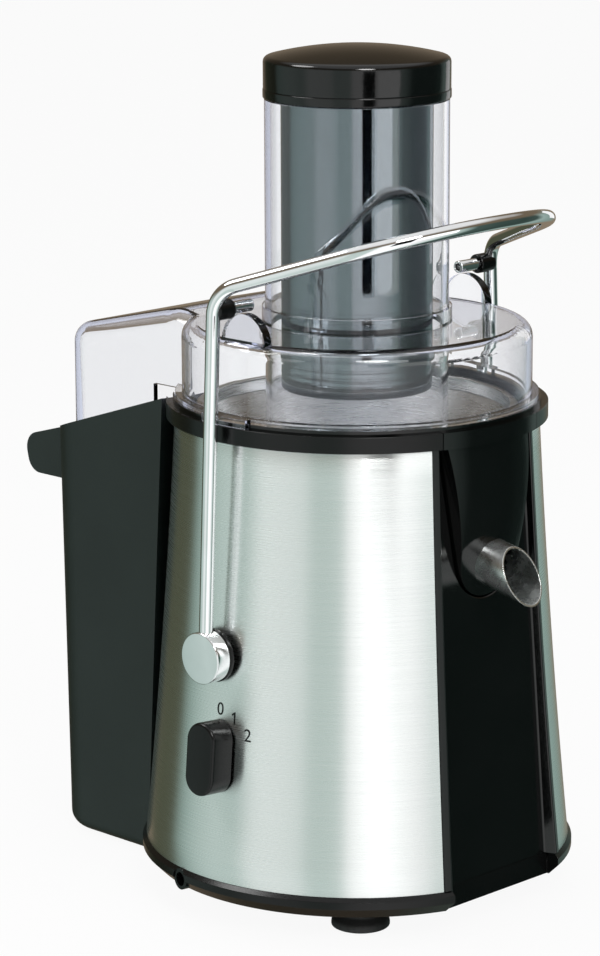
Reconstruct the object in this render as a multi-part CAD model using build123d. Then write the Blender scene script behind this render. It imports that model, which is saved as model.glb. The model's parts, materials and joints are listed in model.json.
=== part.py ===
from build123d import *
import os
from math import atan, cos, degrees, pi, radians, sin, sqrt, tan

# Centrifugal juicer, in millimetres. +Z is up, the spout points to -Y and the pulp bin stands at +Y.
# Every piece is modelled round the body's vertical axis with the worktop at height 0. At the end the
# whole is moved so that the origin is the middle of its outline on the worktop.

# Clearances
run_gap = 0.05          # a shaft in its bearing, all round
move_gap = 0.3          # pieces that pass each other
lift_gap = 0.7          # pieces that lift out by hand
reach = 300.0           # longer than the juicer, for cutting shapes

# Heights, stacked from the worktop up
foot_height = 12.0
band_height = 10.4
shell_height = 202.3
ring_height = 7.6
bowl_rim_height = 2.0
lid_height = 34.7
tube_collar_height = 7.3
tube_height = 95.4
cap_ring_height = 4.3
cap_height = 14.3
cap_dome_height = 5.5

# Base pan and feet
band_overhang = 1.8
band_undercut = 5.3
band_wall = 4.0
pan_floor = 3.0
spigot_height = 8.0
spigot_wall = 2.0
foot_r = 13.5
foot_waist_r = 10.5
foot_lip_height = 4.0
foot_stem_r = 4.0
vent_count = 16
vent_width = 3.0
vent_length = 18.0
vent_circle_r = 38.0

# Steel shell: a flared sleeve, open at the front
shell_bottom_r = 100.5
shell_top_r = 84.9
shell_sag = 1.2
shell_wall = 0.8
front_half_angle = 23.2

# Front panel: a flat face set back between two ridges
ridge_inner_angle = 20.8
ridge_height = 0.8
panel_depth = 16.0
panel_bottom_step = 11.5
panel_top_step = 8.9
panel_wall = 2.5

# Deck that carries the bowl and the motor
ring_overhang = 3.9
deck_wall = 2.0
deck_floor = 3.0
deck_drop = 4.5
deck_hole_r = 14.0
pillar_r = 5.0
screw_r = 1.8
screw_head_r = 3.4
screw_head_height = 2.4
screw_bite = 10.0
screw_tip_gap = 1.0

# Juice bowl with its front tongue and the spout
bowl_rim_step = 3.2
bowl_side_gap = 2.0
bowl_taper = 6.4
bowl_wall = 2.4
bowl_depth = 77.8
neck_r = 15.5
neck_wall = 2.5
neck_height = 15.0
tongue_half_width = 27.0
tongue_round_r = 19.0
tongue_round_rise = 16.5
tongue_step = 2.8
tongue_bulge = 1.0
tongue_tuck = 6.0
spout_r = 11.0
spout_wall = 0.7
spout_slope = 12.0
spout_rise = 13.4
spout_stand = 8.1
spout_lip = 13.5

# Clear lid with feed tube and pulp hood
lid_step = 4.3
lid_wall = 2.6
lid_edge_r = 7.0
lid_flange_step = 1.1
lid_flange_height = 2.2
tube_r = 42.5
tube_wall = 2.6
tube_collar_r = 44.0
tube_dip = 26.0
hood_side_gap = 2.5
hood_back_gap = 10.5
hood_corner_r = 16.0
hood_edge_r = 10.0
hood_rise = 5.2
hood_ramp = 14.0
hood_crest_r = 30.0
hood_slope = 13.0
hood_dip = 3.0
lug_r = 13.8
lug_width = 4.5
lug_inset = 5.3
lug_forward = 2.0
tab_half_width = 14.0
tab_wall = 2.0
tab_gap = 0.3

# Pusher
pusher_r = 35.0
pusher_wall = 2.2
pusher_floor = 3.0
pusher_length = 134.0
cap_r = 43.0
cap_ring_r = 43.2
cap_wall = 2.5
cap_edge_r = 2.6

# Filter basket and its drive
basket_gap = 1.5
basket_rim_width = 3.5
basket_bottom_r = 41.0
basket_depth = 40.0
basket_mesh = 0.6
basket_rim_height = 6.0
basket_drop = 3.0
hub_floor = 3.0
hub_socket_r = 11.5
hub_skirt_r = 19.5
hub_skirt_wall = 2.0
hub_skirt_depth = 16.0
hub_socket_depth = 26.0
grater_wall = 1.0
tooth_rows = 8
tooth_count = 5
tooth_width = 3.0
tooth_length = 1.6
tooth_height = 1.8
coupling_r = 8.0
coupling_height = 16.0
coupling_tooth_count = 6
coupling_tooth = 1.0

# Motor
shaft_r = 4.0
post_r = 5.0
post_length = 11.0
damper_r = 7.0
damper_height = 4.0
post_gap = 3.7
bracket_wall = 4.0
bearing_r = 11.0
bearing_height = 7.0
boss_wall = 3.0
skirt_wall = 5.0
stator_r = 41.0
stator_height = 40.0
stator_yoke = 7.0
stator_pole = 4.0
stator_neck = 20.0
skirt_top_height = 10.0
skirt_bottom_height = 22.0
core_r = 22.0
air_gap = 0.6
winding_r = 19.0
winding_height = 5.0
coil_wall = 7.0
coil_end = 6.0
commutator_r = 12.0
commutator_height = 11.0
brush_width = 8.0
brush_height = 6.0
fan_r = 34.0
fan_height = 10.0
fan_blades = 9
fan_blade_wall = 1.6
fan_hub_r = 8.0
fan_plate = 2.0
shaft_tail = 14.0

# Selector knob and switch on the -X side
knob_rise = 58.0
knob_forward = 4.0
knob_width = 17.0
knob_length = 34.0
knob_height = 13.5
knob_lift = 0.8
knob_edge_r = 1.6
spindle_r = 3.0
spindle_socket = 7.0
switch_size = 30.0
switch_depth = 22.0
switch_neck_r = 4.8

# Locking bar
pivot_rise = 104.6
pivot_disc_r = 12.0
pivot_disc_height = 8.1
pivot_washer_height = 2.0
pivot_washer_r = 12.4
pivot_start = 0.7
axle_r = 4.0
axle_collar_r = 7.0
axle_collar_height = 3.0
bush_r = 6.5
bush_plate = 3.0
bush_plate_half = 15.0
rod_r = 3.25
rod_seat = 7.0
arm_gap = 3.2
bar_bend_rise = 24.9
bar_bend_r = 15.0
bow_half_width = 48.0
bow_forward = 89.3
bow_rise = 30.3
bow_corner_r = 68.0
latch_drop = 8.9
latch_pin_r = 2.9
latch_pin_bore_r = 1.8
latch_pin_bore = 6.0
latch_pin_overlap = 2.2
latch_bush_r = 4.6
latch_bush_gap = 6.0
micro_length = 20.0
micro_width = 6.4
micro_height = 10.0

# Pulp bin
bin_half_width = 55.0
bin_back_y = 163.0
bin_corner_r = 26.0
bin_wall = 2.5
bin_floor_r = 8.0
bin_taper = 0.7
bin_rim_slope = 18.0
bin_rim_front_y = 73.8
bin_rim_drop = 2.9
bin_base_gap = 1.0
bin_top_gap = 3.2
bin_stand = 0.3
lip_half_width = 40.0
lip_reach = 26.8
lip_height = 21.9
lip_wall = 2.4
lip_drop = 4.0
lip_nose_r = 8.5

# Cord gland and the small electrics on the pan floor
gland_angle = 100.0
gland_r = 5.0
gland_bore_r = 3.3
gland_depth = 12.0
block_length = 30.0
block_width = 18.0
block_height = 14.0
block_y = 66.0
capacitor_r = 8.0
capacitor_height = 22.0
capacitor_x = 32.0

# Levels that follow from the heights
shell_bottom_z = foot_height + band_height
ring_bottom_z = shell_bottom_z + shell_height
ring_top_z = ring_bottom_z + ring_height
bowl_top_z = ring_top_z + bowl_rim_height
lid_top_z = bowl_top_z + lid_height
collar_top_z = lid_top_z + tube_collar_height
tube_top_z = collar_top_z + tube_height
cap_seat_z = tube_top_z + move_gap
cap_joint_z = cap_seat_z + cap_ring_height
cap_edge_z = cap_joint_z + cap_height
pan_floor_z = foot_height + pan_floor
bowl_floor_z = ring_top_z - bowl_depth
deck_top_z = bowl_floor_z - deck_drop
deck_bottom_z = deck_top_z - deck_floor
pivot_z = shell_bottom_z + pivot_rise
knob_z = shell_bottom_z + knob_rise
bar_bend_z = lid_top_z + bar_bend_rise
latch_z = bar_bend_z - latch_drop
basket_rim_z = bowl_top_z - basket_drop
basket_floor_z = basket_rim_z - basket_rim_height - basket_depth
spout_z = bowl_floor_z + spout_rise
tongue_round_z = bowl_floor_z + tongue_round_rise

# Radii that follow from the steel shell's two ends
band_r = shell_bottom_r + band_overhang
band_foot_r = band_r - band_undercut
panel_bottom_y = shell_bottom_r - panel_bottom_step
panel_top_y = shell_top_r - panel_top_step
ring_r = shell_top_r + ring_overhang
bowl_rim_r = ring_r - bowl_rim_step
bowl_top_r = shell_top_r - shell_wall - bowl_side_gap - deck_wall - lift_gap
bowl_bottom_r = bowl_top_r - bowl_taper
tongue_top_r = ring_r - tongue_step
tongue_mid_r = tongue_top_r + tongue_bulge
tongue_bottom_r = tongue_top_r - tongue_tuck
spout_upper_reach = tongue_mid_r + spout_stand
lid_r = bowl_rim_r - lid_step
lid_flange_r = bowl_rim_r - lid_flange_step
basket_rim_r = bowl_top_r - bowl_wall - basket_gap
basket_top_r = basket_rim_r - basket_rim_width

# Widths across the lid, the latch and the bin
lug_outer_x = lid_r - lug_inset
latch_bush_end_x = lug_outer_x + latch_bush_gap
latch_pin_end_x = lug_outer_x - lug_width - latch_pin_overlap
arm_top_x = ring_r + arm_gap
hood_half_width = bin_half_width - bin_wall - hood_side_gap
hood_back_y = bin_back_y - bin_wall - hood_back_gap

# Circles that clear each other from the motor outwards: motor posts, pan pillars, feet
post_circle_r = stator_r + post_gap + screw_head_r
bracket_r = post_circle_r + damper_r
pillar_circle_r = bracket_r + lift_gap + pillar_r
foot_circle_r = pillar_circle_r + screw_head_r + move_gap + foot_waist_r


def shell_r(z):
    t = (z - shell_bottom_z) / shell_height
    return shell_bottom_r + (shell_top_r - shell_bottom_r) * t - 4 * shell_sag * t * (1 - t)


def bowl_r(z):
    t = (z - bowl_floor_z) / bowl_depth
    return bowl_bottom_r + (bowl_top_r - bowl_bottom_r) * t


def rim_z(y):
    return ring_top_z - bin_rim_drop - (y - bin_rim_front_y) * tan(radians(bin_rim_slope))


# Shapes that many pieces share
def turned(*points):
    return revolve(make_face(Polyline(*[(r, 0, z) for r, z in points], close=True)), Axis.Z)


def ring(outer, inner, z0, z1):
    return Pos(0, 0, z0) * extrude(Circle(outer) - Circle(inner), z1 - z0)


def rod_z(radius, z0, z1, x=0.0, y=0.0):
    return Pos(x, y, (z0 + z1) / 2) * Cylinder(radius, z1 - z0)


def rod_x(radius, x0, x1, y=0.0, z=0.0):
    return Pos((x0 + x1) / 2, y, z) * Rot(0, 90, 0) * Cylinder(radius, abs(x1 - x0))


def block(x0, x1, y0, y1, z0, z1):
    return Pos((x0 + x1) / 2, (y0 + y1) / 2, (z0 + z1) / 2) * Box(x1 - x0, y1 - y0, z1 - z0)


def side_view(points, half_width):
    face = make_face(Plane.YZ * Polyline(*points, close=True))
    return extrude(face, half_width, both=True)


def front_wedge(half_angle, z0, z1):
    spread = reach * tan(radians(half_angle))
    face = make_face(Polyline((0, 0), (-spread, -reach), (spread, -reach), close=True))
    return Pos(0, 0, z0) * extrude(face, z1 - z0)


def shell_layer(inner_inset, outer_inset):
    middle_z = (shell_bottom_z + ring_bottom_z) / 2
    heights = (shell_bottom_z, middle_z, ring_bottom_z)
    outer = ThreePointArc(*[(shell_r(z) - outer_inset, 0, z) for z in heights])
    inner = ThreePointArc(*[(shell_r(z) - inner_inset, 0, z) for z in heights])
    lower = Line(inner @ 0, outer @ 0)
    upper = Line(inner @ 1, outer @ 1)
    return revolve(make_face([outer, upper, inner, lower]), Axis.Z)


def four_round(circle_r, turn=45.0):
    return [Rot(0, 0, turn + 90 * i) * Pos(circle_r, 0, 0) for i in range(4)]


nodes = {}

# Base pan: floor, outer band, a spigot inside the steel and a flat front under the panel
spigot_z = shell_bottom_z + spigot_height
spigot_r = shell_r(spigot_z) - shell_wall - move_gap
band_shoulder_z = shell_bottom_z - (band_r - shell_bottom_r)
pan = turned(
    (0, foot_height),
    (band_foot_r, foot_height),
    (band_r, foot_height + (band_r - band_foot_r)),
    (band_r, band_shoulder_z),
    (shell_bottom_r, shell_bottom_z),
    (spigot_r, shell_bottom_z),
    (spigot_r, spigot_z),
    (spigot_r - spigot_wall, spigot_z),
    (spigot_r - spigot_wall, shell_bottom_z),
    (band_r - 2 * band_wall, pan_floor_z),
    (0, pan_floor_z),
)
panel_half = shell_bottom_r * sin(radians(ridge_inner_angle))
panel_back_y = panel_bottom_y - band_wall
notch = block(-panel_half, panel_half, -reach, -panel_bottom_y, 0, spigot_z)
spigot_gap = block(-reach, reach, -reach, -panel_back_y, shell_bottom_z, spigot_z)
front_wall = block(-panel_half, panel_half, -panel_bottom_y, -panel_back_y, foot_height, shell_bottom_z)
pan = pan - spigot_gap - notch + (front_wall & rod_z(band_r, foot_height, shell_bottom_z))
for place in four_round(foot_circle_r):
    pan = pan - place * rod_z(foot_stem_r, foot_height, pan_floor_z)
for place in four_round(pillar_circle_r):
    pan = pan - place * rod_z(screw_r + run_gap, foot_height, pan_floor_z)
for i in range(vent_count):
    slot = Box(vent_length, vent_width, 2 * pan_floor_z)
    pan = pan - Rot(0, 0, (i + 0.5) * 360 / vent_count) * Pos(vent_circle_r, 0, 0) * slot
gland_turn = Rot(0, 0, 180 - (gland_angle - 90))
gland_z = foot_height + band_height / 2
pan = pan - gland_turn * rod_x(gland_r, band_r - gland_depth, band_r, z=gland_z)
nodes["base_pan"] = pan

# Cord gland: a bush in the pan's side
gland_out = band_r - (band_r - shell_bottom_r) / 2
gland = rod_x(gland_r, band_r - gland_depth, gland_out, z=gland_z)
gland = gland - rod_x(gland_bore_r, band_r - 2 * gland_depth, band_r, z=gland_z)
nodes["cord_gland"] = gland_turn * gland

# Rubber feet
foot = turned(
    (0, 0),
    (foot_r, 0),
    (foot_r, foot_lip_height),
    (foot_waist_r, foot_lip_height + (foot_r - foot_waist_r)),
    (foot_waist_r, foot_height),
    (foot_stem_r, foot_height),
    (foot_stem_r, pan_floor_z),
    (0, pan_floor_z),
)
foot_names = ("foot_rear_right", "foot_rear_left", "foot_front_left", "foot_front_right")
for name, place in zip(foot_names, four_round(foot_circle_r)):
    nodes[name] = place * foot

# Where the knob stands: a plane on the steel, square to it
shell_tilt = degrees(atan((shell_r(knob_z - shell_wall) - shell_r(knob_z + shell_wall)) / (2 * shell_wall)))
knob_turn = degrees(atan(knob_forward / shell_r(knob_z)))
knob_place = Rot(0, 0, knob_turn) * Pos(-shell_r(knob_z), 0, knob_z) * Rot(0, shell_tilt - 90, 0)

# Steel shell
shell = shell_layer(shell_wall, 0) - front_wedge(front_half_angle, 0, reach)
shell = shell - rod_x(bush_r + run_gap, -reach, reach, z=pivot_z)
shell = shell - knob_place * Cylinder(switch_neck_r + run_gap, 4 * shell_wall)
nodes["steel_shell"] = shell

# Juice bowl: cone, rim, collar that closes the ring in front, tongue round the spout, centre neck
floor_top_z = bowl_floor_z + bowl_wall


def tongue(inset):
    top_line = Line((-tongue_half_width + inset, ring_bottom_z), (tongue_half_width - inset, ring_bottom_z))
    foot_circle = Pos(0, tongue_round_z) * Circle(tongue_round_r - inset)
    window = extrude(Plane.XZ * make_hull([top_line.edge(), *foot_circle.edges()]), reach)
    low_z = tongue_round_z - tongue_round_r - tongue_bulge
    middle_z = tongue_round_z + tongue_round_r / 2
    arc = ThreePointArc(
        (tongue_bottom_r - inset, 0, low_z),
        (tongue_mid_r - inset, 0, middle_z),
        (tongue_top_r - inset, 0, ring_bottom_z),
    )
    outline = Polyline(arc @ 1, (0, 0, ring_bottom_z), (0, 0, low_z), arc @ 0)
    return window & revolve(make_face([arc, outline]), Axis.Z)


bowl_outside = turned(
    (0, bowl_floor_z),
    (bowl_bottom_r, bowl_floor_z),
    (bowl_top_r, ring_top_z),
    (bowl_rim_r, ring_top_z),
    (bowl_rim_r, bowl_top_z),
    (0, bowl_top_z),
)
bowl_inside = turned(
    (0, floor_top_z),
    (bowl_bottom_r - bowl_wall, floor_top_z),
    (bowl_top_r - bowl_wall, bowl_top_z),
    (0, bowl_top_z),
)
collar_angle = ridge_inner_angle - degrees(move_gap / ring_r)
collar = ring(ring_r, bowl_bottom_r, ring_bottom_z, ring_top_z) & front_wedge(collar_angle, 0, reach)
spout_axis = Pos(0, -tongue_mid_r, spout_z) * Rot(90 + spout_slope, 0, 0)
spout_length = spout_upper_reach + spout_lip
bowl = bowl_outside + collar + tongue(0) - bowl_inside - tongue(bowl_wall)
bowl = bowl + ring(neck_r, neck_r - neck_wall, bowl_floor_z, floor_top_z + neck_height)
bowl = bowl - rod_z(neck_r - neck_wall, 0, floor_top_z + neck_height)
bowl = bowl - spout_axis * Cylinder(spout_r, 2 * (tongue_mid_r - bowl_bottom_r))
nodes["juice_bowl"] = bowl

# Spout: a steel tube through the tongue, its mouth cut on the slant
mouth_back = -spout_upper_reach
mouth_front = mouth_back - spout_lip
mouth_top_z = spout_z + spout_r
mouth_low_z = spout_z - spout_r - spout_lip * tan(radians(spout_slope))
spout = spout_axis * (Cylinder(spout_r, 2 * spout_length) - Cylinder(spout_r - spout_wall, 2 * spout_length))
slant = spout_lip / (mouth_top_z - mouth_low_z)
mouth_cut = side_view(
    [
        (mouth_back + slant * reach, mouth_top_z + reach),
        (mouth_front - slant * reach, mouth_low_z - reach),
        (-2 * reach, mouth_low_z - reach),
        (-2 * reach, mouth_top_z + reach),
    ],
    reach,
)
spout_root_y = bowl_wall - tongue_bottom_r
spout = spout - mouth_cut - block(-reach, reach, spout_root_y, reach, 0, reach)
nodes["spout_tube"] = spout

# Deck: ring, funnel round the bowl, floor, pillars to the pan and posts for the motor
deck_inner = lift_gap
deck_outer = lift_gap + deck_wall
deck = turned(
    (deck_hole_r, deck_bottom_z),
    (bowl_r(deck_bottom_z) + deck_outer, deck_bottom_z),
    (bowl_r(ring_bottom_z) + deck_outer, ring_bottom_z),
    (ring_r, ring_bottom_z),
    (ring_r, ring_top_z),
    (bowl_r(ring_top_z) + deck_inner, ring_top_z),
    (bowl_r(deck_top_z) + deck_inner, deck_top_z),
    (deck_hole_r, deck_top_z),
)
deck_gap_half = shell_top_r * sin(radians(front_half_angle)) + deck_wall
deck_gap_y = deck_gap_half + pillar_r
deck = deck - block(-deck_gap_half, deck_gap_half, -reach, -deck_gap_y, deck_top_z, ring_bottom_z)
deck = deck - front_wedge(ridge_inner_angle, ring_bottom_z, reach)
for place in four_round(pillar_circle_r):
    deck = deck + place * rod_z(pillar_r, pan_floor_z, deck_bottom_z)
    deck = deck - place * rod_z(screw_r + run_gap, pan_floor_z, pan_floor_z + screw_bite)
post_low_z = deck_bottom_z - post_length
for place in four_round(post_circle_r, 0):
    deck = deck + place * rod_z(post_r, post_low_z, deck_bottom_z)
    deck = deck - place * rod_z(screw_r + run_gap, post_low_z, post_low_z + screw_bite)
nodes["motor_deck"] = deck

# Front panel: ridges at both edges, a flat face set back, open where the bowl's tongue comes through
panel = shell_layer(panel_depth, -ridge_height) & front_wedge(
    front_half_angle - degrees(move_gap / shell_top_r), 0, reach
)
face_line = [(-panel_bottom_y, shell_bottom_z), (-panel_top_y, ring_bottom_z)]
in_front = side_view(face_line + [(-reach, ring_bottom_z), (-reach, shell_bottom_z)], reach)
back_line = [(y + panel_wall, z) for y, z in face_line]
behind = side_view(back_line + [(reach, ring_bottom_z), (reach, shell_bottom_z)], reach)
panel = panel - behind - (in_front & front_wedge(ridge_inner_angle, 0, reach))
bowl_room = turned(
    (0, bowl_floor_z - lift_gap),
    (bowl_bottom_r + lift_gap, bowl_floor_z - lift_gap),
    (bowl_top_r + lift_gap, ring_top_z),
    (0, ring_top_z),
)
spout_room = spout_axis * Cylinder(spout_r + lift_gap, 2 * spout_length)
panel = panel - bowl_room - tongue(-lift_gap) - spout_room
nodes["front_panel"] = panel

# Shaft seal: a rubber ring in the deck's centre hole
seal = ring(deck_hole_r, shaft_r + move_gap, deck_bottom_z, deck_top_z)
nodes["shaft_seal"] = seal

# Screws that hold the pan to the pillars, with their heads under the floor
base_screw = rod_z(screw_head_r, foot_height - screw_head_height, foot_height)
base_screw = base_screw + rod_z(screw_r, foot_height, pan_floor_z + screw_bite - screw_tip_gap)
nodes["base_screws"] = Compound([place * base_screw for place in four_round(pillar_circle_r)])


# Clear lid: round cover, pulp hood behind, feed tube, lugs under the latch pins, side tabs
def hood_block(inset):
    seat_y = sqrt(lid_r**2 - hood_half_width**2) - lid_wall
    front_y = seat_y - inset
    crest_y = seat_y + hood_ramp
    back_y = hood_back_y - inset
    half = hood_half_width - inset
    step_y = bin_rim_front_y + bin_half_width / 5
    fall = tan(radians(hood_slope))
    crest_z = lid_top_z + hood_rise - hood_ramp * fall - inset / cos(radians(hood_slope))
    low = reach if inset else 0
    outline = Polyline(
        (front_y, lid_top_z - inset),
        (crest_y, crest_z),
        (back_y, crest_z - (back_y - crest_y) * fall),
        (back_y, rim_z(back_y) - hood_dip - low),
        (step_y, rim_z(step_y) - hood_dip - low),
        (step_y, bowl_top_z - low),
        (front_y, bowl_top_z - low),
        close=True,
    )
    profile = make_face(outline)
    crest = profile.vertices().sort_by(Axis.Y)[-1]
    profile = fillet(crest, hood_crest_r - inset)
    body = extrude(Plane.YZ * profile, half, both=True)
    corners = body.edges().filter_by(Axis.Z).group_by(Axis.Y)[-1]
    body = fillet(corners, hood_corner_r - inset)
    roof = body.faces().filter_by(lambda f: f.normal_at().Z > 0.5)
    rims = [e for f in roof for e in f.edges() if (e @ 0.5).Y > front_y + lid_wall]
    rims = [e for e in rims if abs((e @ 0.5).X) > lid_wall or (e @ 0.5).Y > hood_back_y - hood_corner_r]
    return fillet(rims, hood_edge_r - inset)


round_outside = rod_z(lid_r, bowl_top_z, lid_top_z)
round_outside = fillet(round_outside.edges().group_by(Axis.Z)[-1], lid_edge_r)
round_inside = rod_z(lid_r - lid_wall, bowl_top_z, lid_top_z - lid_wall)
round_inside = fillet(round_inside.edges().group_by(Axis.Z)[-1], lid_edge_r - lid_wall)
hood_inside = hood_block(lid_wall)
tube_bottom_z = bowl_top_z - tube_dip
flange = ring(lid_flange_r, lid_r - lid_wall, bowl_top_z, bowl_top_z + lid_flange_height)
lid = round_outside + hood_block(0) + flange - round_inside - hood_inside
lid = lid + ring(tube_r, tube_r - tube_wall, tube_bottom_z, tube_top_z)
lid = lid + ring(tube_collar_r, tube_r - tube_wall, lid_top_z - lid_wall, collar_top_z)
lid = lid - rod_z(tube_r - tube_wall, tube_bottom_z, tube_top_z)
lug_top_z = latch_z - latch_pin_r - move_gap
lug_disc = rod_x(lug_r, lug_outer_x - lug_width, lug_outer_x, -lug_forward, lug_top_z - lug_r)
lug = lug_disc & block(0, reach, -reach, reach, lid_top_z - lid_wall, reach)
tab_inner = bowl_rim_r + tab_gap
tab = ring(tab_inner + tab_wall, lid_flange_r - tab_wall, ring_top_z, bowl_top_z + lid_flange_height)
tab = tab - rod_z(tab_inner, 0, bowl_top_z)
tab = tab & block(0, reach, -tab_half_width, tab_half_width, 0, reach)
for side in (lug, tab):
    lid = lid + side + mirror(side, about=Plane.YZ)
nodes["lid"] = lid

# Pusher: a smoked cup that hangs in the feed tube from its collar, closed by a domed cap
pusher_z = cap_seat_z - pusher_length
pusher = rod_z(pusher_r, pusher_z, cap_seat_z)
pusher = pusher - rod_z(pusher_r - pusher_wall, pusher_z + pusher_floor, cap_seat_z)
nodes["pusher_cup"] = pusher
nodes["pusher_collar"] = ring(cap_ring_r, pusher_r - 2 * pusher_wall, cap_seat_z, cap_joint_z)


def dome(radius, low_z, edge_z, rise):
    ball_r = (radius**2 + rise**2) / (2 * rise)
    middle = radius / 2
    middle_z = edge_z + rise - ball_r + sqrt(ball_r**2 - middle**2)
    arc = ThreePointArc((radius, 0, edge_z), (middle, 0, middle_z), (0, 0, edge_z + rise))
    outline = Polyline(arc @ 1, (0, 0, low_z), (radius, 0, low_z), arc @ 0)
    return revolve(make_face([arc, outline]), Axis.Z)


cap = dome(cap_r, cap_joint_z, cap_edge_z, cap_dome_height)
cap = fillet(cap.edges().filter_by(lambda e: e.is_closed).group_by(Axis.Z)[-1], cap_edge_r)
cap = cap - dome(cap_r - cap_wall, cap_joint_z, cap_edge_z - cap_wall, cap_dome_height)
nodes["pusher_cap"] = cap

# Filter basket: steel cone, rim, hub with a socket for the coupling, and the grater disc
cone_top_z = basket_rim_z - basket_rim_height
mesh = turned(
    (basket_bottom_r - basket_mesh, basket_floor_z),
    (basket_bottom_r, basket_floor_z),
    (basket_top_r, cone_top_z),
    (basket_top_r - basket_mesh, cone_top_z),
)
nodes["filter_cone"] = mesh
rim_inner = basket_top_r - 2 * basket_mesh
basket_rim = ring(basket_rim_r, rim_inner, cone_top_z, basket_rim_z)
basket_rim = chamfer(basket_rim.edges().group_by(Axis.Z)[-1], basket_mesh)
nodes["basket_rim"] = basket_rim
hub_low_z = basket_floor_z - hub_floor
hub = rod_z(basket_bottom_r, hub_low_z, basket_floor_z)
hub = hub + ring(hub_skirt_r, hub_skirt_r - hub_skirt_wall, hub_low_z - hub_skirt_depth, hub_low_z)
hub = hub + rod_z(hub_socket_r, hub_low_z - hub_socket_depth, hub_low_z)
coupling_top_z = hub_low_z - hub_floor
coupling_low_z = coupling_top_z - coupling_height
coupling = rod_z(coupling_r, coupling_low_z, coupling_top_z)
for i in range(coupling_tooth_count):
    rib = Pos(coupling_r, 0, (coupling_low_z + coupling_top_z) / 2)
    rib = rib * Box(2 * coupling_tooth, 2 * coupling_tooth, coupling_height)
    coupling = coupling + Rot(0, 0, i * 360 / coupling_tooth_count) * rib
hub = hub - rod_z(shaft_r + run_gap, 0, coupling_low_z) - coupling
coupling = coupling - rod_z(shaft_r, 0, coupling_top_z - hub_floor)
nodes["drive_coupling"] = coupling
nodes["basket_hub"] = hub
grater_r = basket_bottom_r - 2 * basket_mesh
grater_top_z = basket_floor_z + grater_wall
grater = rod_z(grater_r, basket_floor_z, grater_top_z)
tooth_root = -grater_wall / 2
tooth_points = [(0, tooth_root), (tooth_length, tooth_root), (tooth_length, tooth_height)]
tooth_outline = Polyline(*tooth_points, close=True)
tooth = extrude(Plane.XZ * make_face(tooth_outline), tooth_width / 2, both=True)
tooth_step = (grater_r - coupling_r) / (tooth_count + 1)
for i in range(tooth_rows):
    for j in range(tooth_count):
        tooth_r = coupling_r + (j + 1) * tooth_step
        spot = Pos(0, tooth_r, grater_top_z)
        grater = grater + Rot(0, 0, (i + 0.5 * (j % 2)) * 360 / tooth_rows) * spot * tooth
nodes["grater_disc"] = grater

# Motor: top bracket hung on dampers, stator between two brackets, rotor on its shaft
bracket_top_z = post_low_z - damper_height
bracket_low_z = bracket_top_z - bracket_wall
stator_top_z = bracket_low_z - skirt_top_height
stator_low_z = stator_top_z - stator_height
lower_top_z = stator_low_z - skirt_bottom_height
lower_low_z = lower_top_z - bracket_wall
boss_r = bearing_r + boss_wall
top_boss_z = bracket_top_z - bearing_height
top_bracket = rod_z(bracket_r, bracket_low_z, bracket_top_z)
top_bracket = top_bracket + ring(stator_r, stator_r - skirt_wall, stator_top_z, bracket_low_z)
top_bracket = top_bracket + rod_z(boss_r, top_boss_z - bracket_wall / 2, bracket_low_z)
top_bracket = top_bracket - rod_z(bearing_r, top_boss_z, bracket_top_z)
top_bracket = top_bracket - rod_z(shaft_r + move_gap, 0, bracket_top_z)
for place in four_round(post_circle_r, 0):
    top_bracket = top_bracket - place * rod_z(screw_r + run_gap, bracket_low_z, bracket_top_z)
nodes["motor_top_bracket"] = top_bracket
nodes["top_bearing"] = ring(bearing_r, shaft_r + run_gap, top_boss_z, bracket_top_z)
damper = ring(damper_r, screw_r + run_gap, bracket_top_z, post_low_z)
nodes["motor_dampers"] = Compound([place * damper for place in four_round(post_circle_r, 0)])
motor_screw = rod_z(screw_head_r, bracket_low_z - screw_head_height, bracket_low_z)
motor_screw = motor_screw + rod_z(screw_r, bracket_low_z, post_low_z + screw_bite - screw_tip_gap)
nodes["motor_screws"] = Compound([place * motor_screw for place in four_round(post_circle_r, 0)])
bottom_boss_z = lower_low_z + bearing_height
bottom_bracket = rod_z(stator_r, lower_low_z, lower_top_z)
bottom_bracket = bottom_bracket + ring(stator_r, stator_r - skirt_wall, lower_top_z, stator_low_z)
bottom_bracket = bottom_bracket + rod_z(boss_r, lower_top_z, bottom_boss_z + bracket_wall / 2)
bottom_bracket = bottom_bracket - rod_z(bearing_r, lower_low_z, bottom_boss_z)
bottom_bracket = bottom_bracket - rod_z(shaft_r + move_gap, lower_low_z, stator_low_z)
brush_z = stator_low_z - winding_height - commutator_height / 2
brush_inner = commutator_r + move_gap
brush_outer = stator_r + boss_wall
brush_length = brush_outer - brush_inner
brush = Pos(0, brush_inner + brush_length / 2, brush_z) * Box(brush_width, brush_length, brush_height)
brushes = [Rot(0, 0, 180 * i) * brush for i in range(2)]
for holder in brushes:
    bottom_bracket = bottom_bracket - holder
nodes["motor_bottom_bracket"] = bottom_bracket
nodes["bottom_bearing"] = ring(bearing_r, shaft_r + run_gap, lower_low_z, bottom_boss_z)
nodes["brush_holders"] = Compound(brushes)
bore_r = core_r + air_gap
pole_r = bore_r + stator_pole
yoke_inner = stator_r - stator_yoke
stator = ring(stator_r, yoke_inner, stator_low_z, stator_top_z)
stator_mid_z = (stator_low_z + stator_top_z) / 2
neck_bar = Pos(0, 0, stator_mid_z) * Box(yoke_inner + stator_r, stator_neck, stator_height)
pole_wing = ring(pole_r, bore_r, stator_low_z, stator_top_z)
pole_wing = pole_wing - block(-core_r / 2, core_r / 2, -reach, reach, 0, reach)
stator = stator + neck_bar + pole_wing - rod_z(bore_r, stator_low_z, stator_top_z)
nodes["motor_stator"] = stator
coil_room = ring(yoke_inner - run_gap, pole_r + run_gap, stator_low_z - coil_end, stator_top_z + coil_end)
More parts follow.
